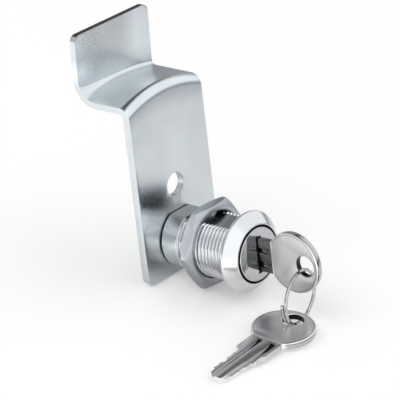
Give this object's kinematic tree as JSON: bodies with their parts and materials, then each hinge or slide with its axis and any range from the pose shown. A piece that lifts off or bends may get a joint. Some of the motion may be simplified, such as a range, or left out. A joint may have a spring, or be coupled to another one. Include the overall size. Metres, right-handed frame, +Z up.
{
  "type": "server rack cam lock",
  "caption": "Key-operated cam lock for a rack door: round-headed barrel with hexagon nut, hooked cam plate on the turning plug, and two keys on a wire ring.",
  "frame": {"origin": "on the lock's axis, in the plane where the head seats on the door panel", "axes": "+Y along the barrel from the head to the cam, +Z up along the cam plate towards its hook, +X to the right seen from the front"},
  "size_m": [0.0567, 0.0741, 0.0798],
  "materials": {
    "chromed_zinc": "bright chrome on die-cast zinc",
    "chromed_plug": "polished chrome",
    "zinc_plated_nut": "satin zinc plate, bluish",
    "zinc_plated_plate": "bright zinc plate on rolled steel sheet",
    "zinc_plated_steel": "zinc plate",
    "wafer_brass": "plain stamped brass",
    "spring_steel": "drawn wire",
    "nickelled_brass": "nickel plate, tumbled",
    "nickelled_wire": "bright nickel plate"
  },
  "bodies": {
    "lock_body": {"barrel": "chromed_zinc"},
    "nut": {"hex_nut": "zinc_plated_nut"},
    "plug_set": {"plug": "chromed_plug", "wafer_spring_1": "spring_steel", "wafer_spring_2": "spring_steel", "wafer_spring_3": "spring_steel", "wafer_spring_4": "spring_steel", "wafer_spring_5": "spring_steel", "stop_disc": "zinc_plated_steel", "cam_plate": "zinc_plated_plate", "cam_washer": "zinc_plated_steel", "spring_washer": "zinc_plated_steel", "cam_screw": "zinc_plated_steel"},
    "inserted_key": {"key_1": "nickelled_brass"},
    "ring": {"key_ring": "nickelled_wire"},
    "loose_key": {"key_2": "nickelled_brass"},
    "wafer_1": {"wafer_1": "wafer_brass"},
    "wafer_2": {"wafer_2": "wafer_brass"},
    "wafer_3": {"wafer_3": "wafer_brass"},
    "wafer_4": {"wafer_4": "wafer_brass"},
    "wafer_5": {"wafer_5": "wafer_brass"}
  },
  "joints": [
    {"name": "plug_turn", "type": "hinge", "parent": "lock_body", "child": "plug_set", "pos_m": [0, 0, 0], "axis": [0, -1, 0], "range_deg": [-90, 0]},
    {"name": "nut_travel", "type": "slide", "parent": "lock_body", "child": "nut", "axis": [0, 1, 0], "range_m": [-0.0098, 0.004]},
    {"name": "key_travel", "type": "slide", "parent": "plug_set", "child": "inserted_key", "axis": [0, -1, 0], "range_m": [0, 0.0185]},
    {"name": "ring_swing", "type": "hinge", "parent": "inserted_key", "child": "ring", "pos_m": [0.0005, -0.02, -0.00145], "axis": [-1, 0, 0], "range_deg": [-10, 60]},
    {"name": "loose_key_swing", "type": "hinge", "parent": "ring", "child": "loose_key", "pos_m": [-0.00255, -0.01979, -0.00868], "axis": [0.1198, -0.9897, -0.0785], "range_deg": [-20, 80]},
    {"name": "wafer_1_lift", "type": "slide", "parent": "plug_set", "child": "wafer_1", "axis": [0, 0, 1], "range_m": [0, 0.00055], "deforming": ["wafer_spring_1"]},
    {"name": "wafer_2_lift", "type": "slide", "parent": "plug_set", "child": "wafer_2", "axis": [0, 0, -1], "range_m": [0, 0.00055], "deforming": ["wafer_spring_2"]},
    {"name": "wafer_3_lift", "type": "slide", "parent": "plug_set", "child": "wafer_3", "axis": [0, 0, 1], "range_m": [0, 0.00055], "deforming": ["wafer_spring_3"]},
    {"name": "wafer_4_lift", "type": "slide", "parent": "plug_set", "child": "wafer_4", "axis": [0, 0, -1], "range_m": [0, 0.00055], "deforming": ["wafer_spring_4"]},
    {"name": "wafer_5_lift", "type": "slide", "parent": "plug_set", "child": "wafer_5", "axis": [0, 0, 1], "range_m": [0, 0.00055], "deforming": ["wafer_spring_5"]}
  ],
  "couplings": [
    {"joint": "wafer_1_lift", "follows": "key_travel", "ratio": 0.02973},
    {"joint": "wafer_2_lift", "follows": "key_travel", "ratio": 0.02973},
    {"joint": "wafer_3_lift", "follows": "key_travel", "ratio": 0.02973},
    {"joint": "wafer_4_lift", "follows": "key_travel", "ratio": 0.02973},
    {"joint": "wafer_5_lift", "follows": "key_travel", "ratio": 0.02973}
  ]
}
